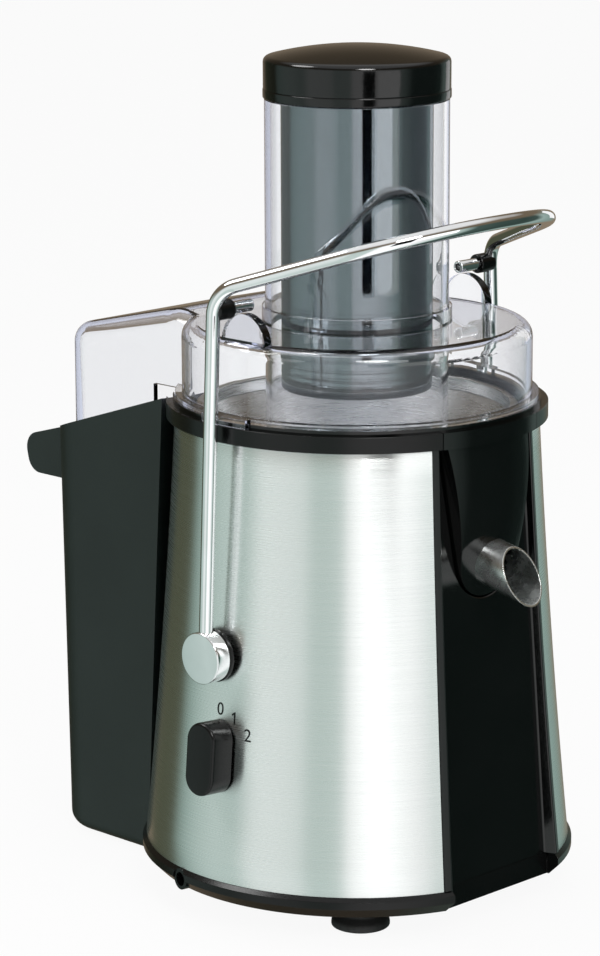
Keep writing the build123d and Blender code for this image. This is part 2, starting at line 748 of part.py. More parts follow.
coil_place = Pos(reach / 2, 0, stator_mid_z)
coil_box = coil_place * Box(reach, stator_neck + 2 * coil_wall, stator_height + 2 * coil_end)
coil_hole = coil_place * Box(reach, stator_neck + 2 * run_gap, stator_height + 2 * run_gap)
coil = (coil_box - coil_hole) & coil_room
nodes["field_coils"] = Compound([coil, Rot(0, 0, 180) * coil])
shaft_low_z = lower_low_z - shaft_tail
nodes["motor_shaft"] = rod_z(shaft_r, shaft_low_z, coupling_top_z - hub_floor)
nodes["armature_core"] = ring(core_r, shaft_r, stator_low_z, stator_top_z)
winding = ring(winding_r, shaft_r, stator_top_z, stator_top_z + winding_height)
lower_winding = ring(winding_r, shaft_r, stator_low_z - winding_height, stator_low_z)
nodes["armature_windings"] = Compound([winding, lower_winding])
commutator_top_z = stator_low_z - winding_height
nodes["commutator"] = ring(commutator_r, shaft_r, commutator_top_z - commutator_height, commutator_top_z)
fan_low_z = shaft_low_z + fan_plate / 2
fan = ring(fan_hub_r, shaft_r, fan_low_z, fan_low_z + fan_height)
fan = fan + ring(fan_r, shaft_r, fan_low_z, fan_low_z + fan_plate)
blade_length = fan_r - shaft_r
blade_place = Pos(fan_r - blade_length / 2, 0, fan_low_z + fan_height / 2)
blade = blade_place * Box(blade_length, fan_blade_wall, fan_height)
blade = blade - rod_z(fan_hub_r - fan_blade_wall, fan_low_z, fan_low_z + fan_height)
for i in range(fan_blades):
    fan = fan + Rot(0, 0, i * 360 / fan_blades) * blade
nodes["cooling_fan"] = fan

# Selector switch behind the steel, and the knob on its spindle
neck_end = knob_lift / 2
switch_front = -(shell_wall + switch_size**2 / 8 / shell_top_r + move_gap)
switch = Pos(0, 0, switch_front - switch_depth / 2) * Box(switch_size, switch_size, switch_depth)
switch = switch + rod_z(switch_neck_r, switch_front, neck_end)
spindle_low = switch_front - switch_depth / 2
switch = switch - rod_z(spindle_r + run_gap, spindle_low, neck_end)
nodes["selector_switch"] = knob_place * switch
spindle_top = knob_lift + spindle_socket
spindle_foot = spindle_low + move_gap
nodes["knob_spindle"] = knob_place * rod_z(spindle_r, spindle_foot, spindle_top)
knob = Pos(0, 0, knob_lift) * extrude(SlotOverall(knob_length, knob_width), knob_height - knob_lift)
knob = fillet(knob.edges().group_by(Axis.Z)[-1], knob_edge_r)
knob = knob - rod_z(spindle_r, 0, spindle_top)
nodes["speed_knob"] = knob_place * knob

# Locking bar: a bent rod on two pivot discs, with latch pins over the lid's lugs
washer_x = shell_r(pivot_z - pivot_disc_r) + pivot_start
disc_x = washer_x + pivot_washer_height
disc_end_x = disc_x + pivot_disc_height
arm_foot_x = (disc_x + disc_end_x) / 2
arm_foot_z = pivot_z + pivot_disc_r - rod_seat
half_path = [
    (arm_foot_x, 0, arm_foot_z),
    (arm_top_x, 0, bar_bend_z),
    (bow_half_width, -bow_forward, bar_bend_z + bow_rise),
]
bar_points = half_path + [(-x, y, z) for x, y, z in reversed(half_path)]
bar_path = FilletPolyline(*bar_points, radius=[bar_bend_r, bow_corner_r, bow_corner_r, bar_bend_r])
rod_section = Plane(origin=bar_path @ 0, z_dir=bar_path % 0) * Circle(rod_r)
rod = sweep(rod_section, path=bar_path)
nodes["lock_rod"] = rod
print("bar rod volume against section times length", rod.volume / (pi * rod_r**2 * bar_path.length))

bush_x = shell_r(pivot_z + bush_plate_half) - shell_wall
bush_x = sqrt(bush_x**2 - bush_plate_half**2) - move_gap
bush_end_x = shell_r(pivot_z)
bush = rod_x(bush_r, bush_x - bush_plate, bush_end_x, z=pivot_z)
bush_square = 2 * bush_plate_half
bush = bush + Pos(bush_x - bush_plate / 2, 0, pivot_z) * Box(bush_plate, bush_square, bush_square)
bush = bush - rod_x(axle_r + run_gap, 0, reach, z=pivot_z)
axle_inner_x = bush_x - bush_plate - move_gap
axle_low_x = axle_inner_x - axle_collar_height
axle = rod_x(axle_r, axle_low_x, disc_x, z=pivot_z)
axle = axle + rod_x(axle_collar_r, axle_low_x, axle_inner_x, z=pivot_z)
washer = rod_x(pivot_washer_r, washer_x, disc_x, z=pivot_z) - rod_x(axle_r, 0, reach, z=pivot_z)
disc = rod_x(pivot_disc_r, disc_x, disc_end_x, z=pivot_z)
disc = chamfer(disc.edges().group_by(Axis.X)[-1], run_gap * 10) - rod
pin = rod_x(latch_pin_r, latch_pin_end_x, arm_top_x, z=latch_z) - rod
pin = pin - rod_x(latch_pin_bore_r, 0, latch_pin_end_x + latch_pin_bore, z=latch_z)
sleeve = rod_x(latch_bush_r, latch_bush_end_x, arm_top_x, z=latch_z)
sleeve = sleeve - rod_x(latch_pin_r, 0, reach, z=latch_z) - rod
micro_x = bush_x - bush_plate
micro_z = pivot_z - axle_collar_r - move_gap - micro_height
micro_place = Pos(micro_x - micro_width / 2, 0, micro_z + micro_height / 2)
micro = micro_place * Box(micro_width, micro_length, micro_height)
right_pieces = {
    "pivot_bush": bush,
    "pivot_axle": axle,
    "pivot_washer": washer,
    "pivot_disc": disc,
    "latch_pin": max(pin.solids(), key=lambda s: s.volume),
    "latch_sleeve": max(sleeve.solids(), key=lambda s: s.volume),
    "safety_switch": micro,
}
for name, piece in right_pieces.items():
    nodes[name + "_right"] = piece
    nodes[name + "_left"] = mirror(piece, about=Plane.YZ)


# Pulp bin: a tapered box that fits round the body, with a scooped grip behind
def bin_block(inset):
    low_z = bin_stand + inset
    high_z = ring_top_z
    shrink = (high_z - low_z) * tan(radians(bin_taper))
    half = bin_half_width - inset - shrink
    back = bin_back_y - inset - shrink
    corner = bin_corner_r - inset - shrink
    plan = Pos(0, back / 2) * Rectangle(2 * half, back)
    plan = fillet(plan.vertices().group_by(Axis.Y)[-1], corner)
    body = Pos(0, 0, low_z) * extrude(plan, high_z - low_z, taper=-bin_taper)
    rear = body.faces().sort_by(Axis.Z)[0]
    floor_edges = [e for e in rear.edges() if (e @ 0.5).Y > 1]
    body = fillet(floor_edges, bin_floor_r - inset)
    hollow = turned(
        (0, 0),
        (band_r + bin_base_gap + inset, 0),
        (band_r + bin_base_gap + inset, shell_bottom_z + bin_wall),
        (ring_r + bin_top_gap + inset, high_z),
        (0, high_z),
    )
    return body - hollow


above_rim = side_view(
    [(0, rim_z(0)), (reach, rim_z(reach)), (reach, 2 * reach), (0, 2 * reach)],
    reach,
)
pulp_bin = bin_block(0) - bin_block(bin_wall) - above_rim
lip_top_z = rim_z(bin_back_y) - lip_drop
lip_back_y = bin_back_y + lip_reach


def lip_block(inset):
    low_z = lip_top_z - lip_height
    front_y = bin_back_y - bin_wall / 2
    back_y = lip_back_y - inset
    nose_r = lip_nose_r - inset
    top_z = lip_top_z - inset
    outline = FilletPolyline(
        (front_y, top_z + lip_drop),
        (back_y, top_z - lip_drop),
        (back_y - lip_drop, low_z),
        (front_y, low_z),
        radius=[nose_r, nose_r],
    )
    face = make_face(Plane.YZ * (outline + Line(outline @ 1, outline @ 0)))
    grip = extrude(face, lip_half_width - inset, both=True)
    return grip


scoop = lip_block(0) - lip_block(lip_wall)
scoop = scoop - block(
    -lip_half_width + lip_wall,
    lip_half_width - lip_wall,
    bin_back_y,
    lip_back_y - 3 * lip_wall,
    0,
    lip_top_z - lip_height + 2 * lip_wall,
)
scoop = scoop - bin_block(bin_wall)
pulp_bin = pulp_bin + scoop
nodes["pulp_bin"] = pulp_bin

# Terminal block and interference capacitor on the pan floor
terminal_place = Pos(0, block_y - block_width / 2, pan_floor_z + block_height / 2)
nodes["terminal_block"] = terminal_place * Box(block_length, block_width, block_height)
capacitor_z = pan_floor_z + capacitor_height
capacitor = rod_z(capacitor_r, pan_floor_z, capacitor_z, capacitor_x, block_y - block_width / 2)
nodes["suppression_capacitor"] = capacitor

# The origin is the middle of the whole outline, on the worktop
extent = Compound(list(nodes.values())).bounding_box()
home = Pos(-extent.center().X, -extent.center().Y, -extent.min.Z)
os.makedirs("parts", exist_ok=True)
for name, piece in nodes.items():
    export_step(home * piece, f"parts/{name}.step")
print(len(nodes), "nodes, body axis at", home.position.X, home.position.Y, "size", extent.size)
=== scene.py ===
import json
from math import atan2, cos, degrees, pi, radians, sin, sqrt, tan

import bmesh
import bpy
from mathutils import Matrix, Vector

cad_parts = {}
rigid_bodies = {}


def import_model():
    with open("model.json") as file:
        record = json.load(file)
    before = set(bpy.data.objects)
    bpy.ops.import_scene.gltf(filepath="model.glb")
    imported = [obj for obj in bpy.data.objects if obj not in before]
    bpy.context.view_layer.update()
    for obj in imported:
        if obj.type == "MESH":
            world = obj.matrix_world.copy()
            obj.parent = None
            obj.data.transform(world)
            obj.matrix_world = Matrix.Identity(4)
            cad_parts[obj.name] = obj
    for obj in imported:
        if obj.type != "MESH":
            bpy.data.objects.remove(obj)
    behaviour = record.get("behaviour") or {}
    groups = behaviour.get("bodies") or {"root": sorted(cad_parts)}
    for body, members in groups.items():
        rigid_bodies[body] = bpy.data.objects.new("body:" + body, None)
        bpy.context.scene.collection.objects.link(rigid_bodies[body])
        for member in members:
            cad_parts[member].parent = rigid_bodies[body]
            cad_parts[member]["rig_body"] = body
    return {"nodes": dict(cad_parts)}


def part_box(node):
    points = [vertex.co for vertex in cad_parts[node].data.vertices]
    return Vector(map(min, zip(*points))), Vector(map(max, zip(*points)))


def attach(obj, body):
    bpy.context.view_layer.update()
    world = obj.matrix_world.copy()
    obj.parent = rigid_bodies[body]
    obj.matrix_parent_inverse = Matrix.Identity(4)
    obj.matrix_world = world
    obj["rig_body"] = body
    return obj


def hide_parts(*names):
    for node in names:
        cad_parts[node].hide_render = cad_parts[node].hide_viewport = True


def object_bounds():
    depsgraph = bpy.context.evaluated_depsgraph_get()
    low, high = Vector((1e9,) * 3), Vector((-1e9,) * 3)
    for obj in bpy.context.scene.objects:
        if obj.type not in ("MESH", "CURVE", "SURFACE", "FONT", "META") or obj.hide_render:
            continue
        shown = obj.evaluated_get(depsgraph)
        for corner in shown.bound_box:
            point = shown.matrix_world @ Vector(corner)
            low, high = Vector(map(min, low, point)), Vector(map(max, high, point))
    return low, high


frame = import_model()
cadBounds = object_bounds()
scene = bpy.context.scene

# Outlines are given in millimetres round the juicer's upright axis, and home puts them into the frame
capLow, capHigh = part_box("pusher_cap")
capCentre = (capLow + capHigh) / 2
home = Matrix.Translation((capCentre.x, capCentre.y, 0)) @ Matrix.Scale(0.001, 4)
print("frame: axis at", round(capCentre.x * 1000, 2), round(capCentre.y * 1000, 2))


# Finishes

noise = {"low": 0.3, "high": 0.7}   # most of a noise texture lies between these
brushing = {"detail": 4.0, "depth": 0.00002, "strength": 0.1}
moulding = {"cloudScale": 25.0, "poreDetail": 2.0, "strength": 0.4}
clearing = {"flowScale": 40.0, "waveScale": 18.0, "depth": 0.0001, "strength": 0.03}


def newFinish(name, **sockets):
    finish = bpy.data.materials.new(name)
    finish.use_nodes = True
    for socket, value in sockets.items():
        shaderOf(finish).inputs[socket.replace("_", " ")].default_value = value
    return finish


def addNode(finish, kind, operation=None, **sockets):
    node = finish.node_tree.nodes.new(kind)
    if operation:
        node.operation = operation
    for socket, value in sockets.items():
        node.inputs[socket.replace("_", " ")].default_value = value
    return node


def join(finish, output, target):
    finish.node_tree.links.new(output, target)


def shaderOf(finish):
    return finish.node_tree.nodes["Principled BSDF"]


def objectPlace(finish, stretch):
    place = addNode(finish, "ShaderNodeTexCoord")
    mapping = addNode(finish, "ShaderNodeMapping", Scale=stretch)
    join(finish, place.outputs["Object"], mapping.inputs["Vector"])
    return mapping.outputs["Vector"]


def grain(finish, scale, stretch=(1, 1, 1), detail=3.0):
    speckle = addNode(finish, "ShaderNodeTexNoise", Scale=scale, Detail=detail)
    join(finish, objectPlace(finish, stretch), speckle.inputs["Vector"])
    return speckle.outputs["Fac"]


def roughness(finish, value, low, high):
    spread = addNode(finish, "ShaderNodeMapRange", From_Min=noise["low"], From_Max=noise["high"],
                     To_Min=low, To_Max=high)
    join(finish, value, spread.inputs["Value"])
    join(finish, spread.outputs["Result"], shaderOf(finish).inputs["Roughness"])


def shades(finish, value, dark, light):
    ramp = addNode(finish, "ShaderNodeValToRGB")
    ramp.color_ramp.elements[0].position = noise["low"]
    ramp.color_ramp.elements[0].color = (*dark, 1)
    ramp.color_ramp.elements[1].position = noise["high"]
    ramp.color_ramp.elements[1].color = (*light, 1)
    join(finish, value, ramp.inputs["Fac"])
    join(finish, ramp.outputs["Color"], shaderOf(finish).inputs["Base Color"])


def relief(finish, value, depth, strength):
    bump = addNode(finish, "ShaderNodeBump", Strength=strength, Distance=depth)
    join(finish, value, bump.inputs["Height"])
    join(finish, bump.outputs["Normal"], shaderOf(finish).inputs["Normal"])


def brushedMetal(name, dark, light, stretch, scale, rough, **sockets):
    finish = newFinish(name, Metallic=1.0, **sockets)
    streaks = grain(finish, scale, stretch, brushing["detail"])
    shades(finish, streaks, dark, light)
    roughness(finish, streaks, *rough)
    relief(finish, streaks, brushing["depth"], brushing["strength"])
    return finish


def mouldedPlastic(name, dark, light, rough, grainScale, depth, **sockets):
    finish = newFinish(name, **sockets)
    shades(finish, grain(finish, moulding["cloudScale"]), dark, light)
    pores = grain(finish, grainScale, detail=moulding["poreDetail"])
    roughness(finish, pores, *rough)
    relief(finish, pores, depth, moulding["strength"])
    return finish


def clearMoulding(name, body, tint, density, rough, **sockets):
    finish = newFinish(name, Base_Color=(*body, 1), Transmission_Weight=1.0, **sockets)
    roughness(finish, grain(finish, clearing["flowScale"]), *rough)
    relief(finish, grain(finish, clearing["waveScale"]), clearing["depth"], clearing["strength"])
    depthTint = addNode(finish, "ShaderNodeVolumeAbsorption", Color=(*tint, 1), Density=density)
    join(finish, depthTint.outputs["Volume"], finish.node_tree.nodes["Material Output"].inputs["Volume"])
    return finish


roundBrush = (1.0, 1.0, 160.0)   # long streaks round the axis, fine ones up the wall
evenGrain = (1, 1, 1)
finishes = {
    "shell_steel": brushedMetal(
        "brushedShellSteel", (0.82, 0.85, 0.84), (0.90, 0.925, 0.915), roundBrush, 22.0, (0.25, 0.31),
        Anisotropic=0.85, Anisotropic_Rotation=0.25),
    "spout_steel": brushedMetal(
        "satinSpoutSteel", (0.80, 0.83, 0.82), (0.88, 0.91, 0.90), evenGrain, 260.0, (0.23, 0.31)),
    "basket_steel": brushedMetal(
        "basketSteel", (0.58, 0.59, 0.60), (0.68, 0.69, 0.70), (1, 1, 30.0), 40.0, (0.24, 0.32)),
    "bar_chrome": brushedMetal(
        "barChrome", (0.86, 0.87, 0.88), (0.93, 0.94, 0.95), evenGrain, 60.0, (0.03, 0.07)),
    "machined_steel": brushedMetal(
        "machinedSteel", (0.45, 0.45, 0.46), (0.62, 0.62, 0.63), (1, 1, 40.0), 60.0, (0.25, 0.38)),
    "motor_iron": brushedMetal(
        "stackedLaminations", (0.16, 0.16, 0.17), (0.34, 0.34, 0.35), (1, 1, 400.0), 6.0, (0.45, 0.6)),
    "winding_copper": brushedMetal(
        "windingCopper", (0.45, 0.17, 0.07), (0.72, 0.33, 0.15), (1, 1, 300.0), 8.0, (0.28, 0.42)),
    "bracket_aluminium": brushedMetal(
        "castAluminium", (0.50, 0.51, 0.52), (0.66, 0.67, 0.68), evenGrain, 500.0, (0.42, 0.58)),
    "black_gloss": mouldedPlastic(
        "glossBlack", (0.0016, 0.0018, 0.0018), (0.003, 0.0033, 0.0033), (0.08, 0.14), 900.0, 0.00002),
    "black_satin": mouldedPlastic(
        "satinBlack", (0.0018, 0.002, 0.002), (0.0034, 0.0037, 0.0037), (0.18, 0.26), 1800.0, 0.00004,
        Specular_IOR_Level=0.32),
    "bin_black": mouldedPlastic(
        "binBlack", (0.003, 0.008, 0.0065), (0.006, 0.012, 0.010), (0.40, 0.52), 2400.0, 0.00006),
    "hub_plastic": mouldedPlastic(
        "hubPlastic", (0.030, 0.030, 0.032), (0.045, 0.045, 0.047), (0.35, 0.48), 1200.0, 0.00004),
    "switch_plastic": mouldedPlastic(
        "switchPlastic", (0.42, 0.41, 0.38), (0.52, 0.51, 0.48), (0.4, 0.55), 1200.0, 0.00004),
    "rubber_black": mouldedPlastic(
        "footRubber", (0.012, 0.012, 0.012), (0.022, 0.022, 0.022), (0.55, 0.72), 700.0, 0.00008),
    "clear_plastic": clearMoulding(
        "clearLid", (1, 1, 1), (0.42, 0.47, 0.88), 9.0, (0.0, 0.01), IOR=1.49),
    "smoked_plastic": mouldedPlastic(
        "smokedPusher", (0.004, 0.006, 0.008), (0.006, 0.009, 0.012), (0.02, 0.05), 300.0, 0.000001,
        IOR=2.9, Specular_Tint=(0.80, 0.93, 1.0, 1)),
}
for node in frame["nodes"].values():
    for place in node.material_slots:
        place.material = finishes[place.material.name]
print("finishes:", len(finishes))


# Modelling helpers

weld = 0.001          # millimetres
creaseAngle = 35      # degrees
copying = {"weld": 0.000001, "flat": 0.2, "bevelSteps": 2}


def merge(bm):
    bmesh.ops.remove_doubles(bm, verts=bm.verts, dist=weld)
    bmesh.ops.recalc_face_normals(bm, faces=bm.faces)


def closeEnds(bm):
    bmesh.ops.holes_fill(bm, edges=[edge for edge in bm.edges if edge.is_boundary], sides=0)


def vertsOf(items):
    return [item for item in items if isinstance(item, bmesh.types.BMVert)]


def edgesOf(items):
    return [item for item in items if isinstance(item, bmesh.types.BMEdge)]


# Turns an outline of (radius, height) points round the upright axis; rounds says which corners are rounded
def turned(points, rounds, closed=True, sweep=360.0, start=0.0, steps=96, segments=4):
    bm = bmesh.new()
    corners = [bm.verts.new((radius, 0, height)) for radius, height in points]
    followers = corners[1:] + corners[:1] if closed else corners[1:]
    for corner, follower in zip(corners, followers):
        bm.edges.new((corner, follower))
    for index, size in rounds.items():
        bmesh.ops.bevel(bm, geom=[corners[index]], offset=size, segments=segments, profile=0.5,
                        affect="VERTICES", material=-1)
    bmesh.ops.rotate(bm, verts=bm.verts, cent=(0, 0, 0), matrix=Matrix.Rotation(radians(start), 3, "Z"))
    bmesh.ops.spin(bm, geom=bm.verts[:] + bm.edges[:], cent=(0, 0, 0), axis=(0, 0, 1),
                   angle=radians(sweep), steps=steps, use_merge=sweep == 360.0)
    merge(bm)
    if closed and sweep < 360.0:
        closeEnds(bm)
        bmesh.ops.recalc_face_normals(bm, faces=bm.faces)
    return bm


def meshOf(name, bm):
    mesh = bpy.data.meshes.new(name)
    bm.to_mesh(mesh)
    bm.free()
    return mesh


def putIn(mesh, name, body, slot, stands):
    mesh.shade_smooth()
    mesh.set_sharp_from_angle(angle=radians(creaseAngle))
    mesh.materials.append(finishes[slot])
    piece = bpy.data.objects.new(name, mesh)
    scene.collection.objects.link(piece)
    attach(piece, body)
    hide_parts(*stands)
    return piece


def makePiece(name, bm, body, slot, *stands):
    bm.transform(home)
    return putIn(meshOf(name, bm), name, body, slot, stands)


def softEdges(piece, width):
    rounding = piece.modifiers.new("softEdges", "BEVEL")
    rounding.width = width * 0.001
    rounding.segments = copying["bevelSteps"]
    rounding.limit_method = "ANGLE"
    rounding.angle_limit = radians(creaseAngle)
    even = piece.modifiers.new("evenShade", "WEIGHTED_NORMAL")
    even.keep_sharp = True


# A merged copy of a node whose shape is already right, with flat stretches cleared and edges softened
def finishedCopy(name, node, width):
    source = frame["nodes"][node]
    slot = next(key for key, finish in finishes.items() if finish == source.material_slots[0].material)
    bm = bmesh.new()
    bm.from_mesh(source.data)
    bmesh.ops.remove_doubles(bm, verts=bm.verts, dist=copying["weld"])
    bmesh.ops.dissolve_limit(bm, angle_limit=radians(copying["flat"]), verts=bm.verts, edges=bm.edges)
    mesh = meshOf(name, bm)
    if mesh.has_custom_normals:
        mesh.attributes.remove(mesh.attributes["custom_normal"])
    piece = putIn(mesh, name, source["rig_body"], slot, (node,))
    softEdges(piece, width)
    return piece


# Base, feet and steel sleeve

base = {"edge": 0.5}
finishedCopy("basePan", "base_pan", base["edge"])

foot = {"soleR": 10.5, "chamfer": 1.2, "lipR": 13.5, "lip": 4.0, "waistR": 10.5, "waist": 7.0, "top": 12.0,
        "rounds": {1: 1.2, 2: 0.6, 3: 1.2, 4: 0.8}, "steps": 48}
footOutline = [(0, 0), (foot["soleR"], 0), (foot["lipR"], foot["chamfer"]), (foot["lipR"], foot["lip"]),
               (foot["waistR"], foot["waist"]), (foot["waistR"], foot["top"]), (0, foot["top"])]
for corner in ("front_left", "front_right", "rear_left", "rear_right"):
    low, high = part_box("foot_" + corner)
    spot = ((low + high) / 2 - Vector((capCentre.x, capCentre.y, 0))) * 1000
    bm = turned(footOutline, foot["rounds"], closed=False, steps=foot["steps"])
    bmesh.ops.translate(bm, verts=bm.verts, vec=(spot.x, spot.y, 0))
    makePiece("foot." + corner, bm, "housing", "rubber_black", "foot_" + corner)

shell = {"bottom": 22.4, "top": 224.7, "bottomR": 100.5, "topR": 84.9, "hollow": 4.8, "wall": 0.8,
         "openHalf": 23.2, "rows": 16, "steps": 160, "hem": 0.3, "hemSteps": 2}


def shellRadius(height):
    share = (height - shell["bottom"]) / (shell["top"] - shell["bottom"])
    straight = shell["bottomR"] + (shell["topR"] - shell["bottomR"]) * share
    return straight - shell["hollow"] * share * (1 - share)


levels = [shell["bottom"] + (shell["top"] - shell["bottom"]) * row / shell["rows"]
          for row in range(shell["rows"] + 1)]
outside = [(shellRadius(level), level) for level in levels]
inside = [(shellRadius(level) - shell["wall"], level) for level in reversed(levels)]
hems = {corner: shell["hem"] for corner in (0, shell["rows"], shell["rows"] + 1, 2 * shell["rows"] + 1)}
bm = turned(outside + inside, hems, sweep=360 - 2 * shell["openHalf"], start=shell["openHalf"] - 90,
            steps=shell["steps"], segments=shell["hemSteps"])
makePiece("steelSleeve", bm, "housing", "shell_steel", "steel_shell")
print("base and steel sleeve done")


# Black front, deck and bowl

panel = {"edge": 0.9}
deck = {"edge": 0.7}
bowl = {"edge": 0.7}
finishedCopy("frontPanel", "front_panel", panel["edge"])
deckRing = finishedCopy("deckRing", "motor_deck", deck["edge"])
juiceBowl = finishedCopy("juiceBowl", "juice_bowl", bowl["edge"])
pulpWay = {"low": 221.0, "full": 30.0, "edge": 40.0, "left": 0.05}


# The rims dip at the back, where the pulp leaves for the bin
def lowerBack(piece):
    for vert in piece.data.vertices:
        place = home.inverted() @ vert.co
        off = abs(degrees(atan2(place.x, place.y)))
        share = min(max((pulpWay["edge"] - off) / (pulpWay["edge"] - pulpWay["full"]), 0), 1)
        if place.z > pulpWay["low"]:
            place.z = pulpWay["low"] + (place.z - pulpWay["low"]) * (1 - (1 - pulpWay["left"]) * share)
            vert.co = home @ place


lowerBack(deckRing)
lowerBack(juiceBowl)

spout = {"outerR": 11.0, "innerR": 10.3, "y": -87.0, "z": 167.9, "fall": 12.0, "half": 60.0, "steps": 72,
         "root": -77.6, "mouthTop": (-95.1, 178.9), "mouthFoot": (-108.6, 154.03), "edge": 0.12}


# Cuts both walls of the tube on one plane and fills the ring between them
def closeCut(bm, point, normal):
    cut = bmesh.ops.bisect_plane(bm, geom=bm.verts[:] + bm.edges[:] + bm.faces[:], plane_co=point,
                                 plane_no=normal, clear_outer=True)
    bmesh.ops.triangle_fill(bm, use_beauty=True, edges=edgesOf(cut["geom_cut"]), normal=normal)


bm = bmesh.new()
for radius in (spout["outerR"], spout["innerR"]):
    ring = bmesh.ops.create_circle(bm, segments=spout["steps"], radius=radius)["verts"]
    edges = list(dict.fromkeys(edge for vert in ring for edge in vert.link_edges))
    grown = bmesh.ops.extrude_edge_only(bm, edges=edges)["geom"]
    bmesh.ops.translate(bm, verts=ring, vec=(0, 0, -spout["half"]))
    bmesh.ops.translate(bm, verts=vertsOf(grown), vec=(0, 0, spout["half"]))
bmesh.ops.transform(bm, verts=bm.verts, matrix=Matrix.Translation((0, spout["y"], spout["z"]))
                    @ Matrix.Rotation(radians(90 + spout["fall"]), 4, "X"))
mouthTop = Vector((0, *spout["mouthTop"]))
slope = Vector((0, *spout["mouthFoot"])) - mouthTop
closeCut(bm, mouthTop, slope.cross((1, 0, 0)))
closeCut(bm, (0, spout["root"], 0), (0, 1, 0))
merge(bm)
piece = makePiece("spoutTube", bm, "housing", "spout_steel", "spout_tube")
softEdges(piece, spout["edge"])
print("front, deck, bowl and spout done")


# Lid and pusher

lid = {"edge": 0.35}
finishedCopy("clearLid", "lid", lid["edge"])

cup = {"r": 35.0, "wall": 2.2, "floor": 3.0, "bottom": 238.0, "top": 372.0, "steps": 128,
       "groove": 0.5, "grooves": (243.0, 246.6, 250.2), "grooveHeight": 1.4, "lead": 0.3,
       "footRound": 1.6, "floorRound": 1.2}
cupOutline = [(0, cup["bottom"]), (cup["r"], cup["bottom"])]
for level in cup["grooves"]:
    cupOutline += [(cup["r"], level), (cup["r"] - cup["groove"], level + cup["lead"]),
                   (cup["r"] - cup["groove"], level + cup["grooveHeight"] - cup["lead"]),
                   (cup["r"], level + cup["grooveHeight"])]
cupOutline += [(cup["r"], cup["top"]), (cup["r"] - cup["wall"], cup["top"]),
               (cup["r"] - cup["wall"], cup["bottom"] + cup["floor"]), (0, cup["bottom"] + cup["floor"])]
bm = turned(cupOutline, {1: cup["footRound"], len(cupOutline) - 2: cup["floorRound"]}, closed=False,
            steps=cup["steps"])
makePiece("pusherCup", bm, "pusher", "smoked_plastic", "pusher_cup")

cap = {"r": 43.0, "bottom": 376.3, "edge": 390.6, "apex": 396.1, "round": 2.0, "rings": 14, "seam": 0.4,
       "steps": 128}
domeRise = cap["apex"] - cap["edge"]
domeR = (cap["r"] ** 2 + domeRise ** 2) / (2 * domeRise)
reaches = [cap["r"] * (1 - ring / cap["rings"]) for ring in range(cap["rings"] + 1)]
dome = [(reach, cap["apex"] - domeR + sqrt(domeR ** 2 - reach ** 2)) for reach in reaches]
bm = turned([(0, cap["bottom"]), (cap["r"], cap["bottom"])] + dome, {1: cap["seam"], 2: cap["round"]},
            closed=False, steps=cap["steps"])
makePiece("pusherCap", bm, "pusher", "black_gloss", "pusher_cap")

collar = {"r": 43.2, "bore": 30.6, "bottom": 372.0, "rounds": {0: 0.5, 1: 0.8, 2: 0.4}, "steps": 128}
collarOutline = [(collar["bore"], collar["bottom"]), (collar["r"], collar["bottom"]),
                 (collar["r"], cap["bottom"]), (collar["bore"], cap["bottom"])]
bm = turned(collarOutline, collar["rounds"], steps=collar["steps"])
makePiece("pusherCollar", bm, "pusher", "black_gloss", "pusher_collar")

basket = {"rimR": 75.5, "rimBore": 70.8, "rimFoot": 225.3, "rimTop": 231.3,
          "rounds": {1: 1.2, 2: 2.0, 3: 1.0}, "steps": 128}
rimOutline = [(basket["rimBore"], basket["rimFoot"]), (basket["rimR"], basket["rimFoot"]),
              (basket["rimR"], basket["rimTop"]), (basket["rimBore"], basket["rimTop"])]
bm = turned(rimOutline, basket["rounds"], steps=basket["steps"])
makePiece("basketRim", bm, "rotor", "basket_steel", "basket_rim")
print("lid, pusher and basket done")


# Locking bar and its fittings

bar = {"r": 3.25, "steps": 32, "bends": (15.0, 68.0, 68.0, 15.0), "bendSteps": 18,
       "corners": ((98.92, 0, 132), (92, 0, 293.9), (48, -89.3, 324.2), (-48, -89.3, 324.2), (-92, 0, 293.9),
                   (-98.92, 0, 132))}


# A round rod along straight runs, spun round a centre at each bend
def bentRod(corners, bends, radius, steps, bendSteps):
    points = [Vector(corner) for corner in corners]
    runs = [(follower - point).normalized() for point, follower in zip(points, points[1:])]
    bm = bmesh.new()
    bmesh.ops.create_circle(bm, segments=steps, radius=radius)
    turnUp = Vector((0, 0, 1)).rotation_difference(runs[0]).to_matrix().to_4x4()
    bmesh.ops.transform(bm, verts=bm.verts, matrix=Matrix.Translation(points[0]) @ turnUp)
    ring = bm.edges[:]
    reached = points[0]
    for index, run in enumerate(runs):
        turn = run.angle(runs[index + 1]) if index < len(bends) else 0
        setback = bends[index] * tan(turn / 2) if index < len(bends) else 0
        target = points[index + 1] - run * setback
        grown = bmesh.ops.extrude_edge_only(bm, edges=ring)["geom"]
        ringVerts = vertsOf(grown)
        bmesh.ops.translate(bm, verts=ringVerts, vec=target - reached)
        rimEdges = (edge for vert in ringVerts for edge in vert.link_edges if edge.is_boundary)
        ring = list(dict.fromkeys(rimEdges))
        if turn:
            hinge = run.cross(runs[index + 1]).normalized()
            centre = target + hinge.cross(run) * bends[index]
            spun = bmesh.ops.spin(bm, geom=ringVerts + ring, cent=centre, axis=hinge, angle=turn,
                                  steps=bendSteps)["geom_last"]
            ring = edgesOf(spun)
            reached = points[index + 1] + runs[index + 1] * setback
    closeEnds(bm)
    merge(bm)
    return bm


bm = bentRod(bar["corners"], bar["bends"], bar["r"], bar["steps"], bar["bendSteps"])
makePiece("lockRod", bm, "lock_bar", "bar_chrome", "lock_rod")

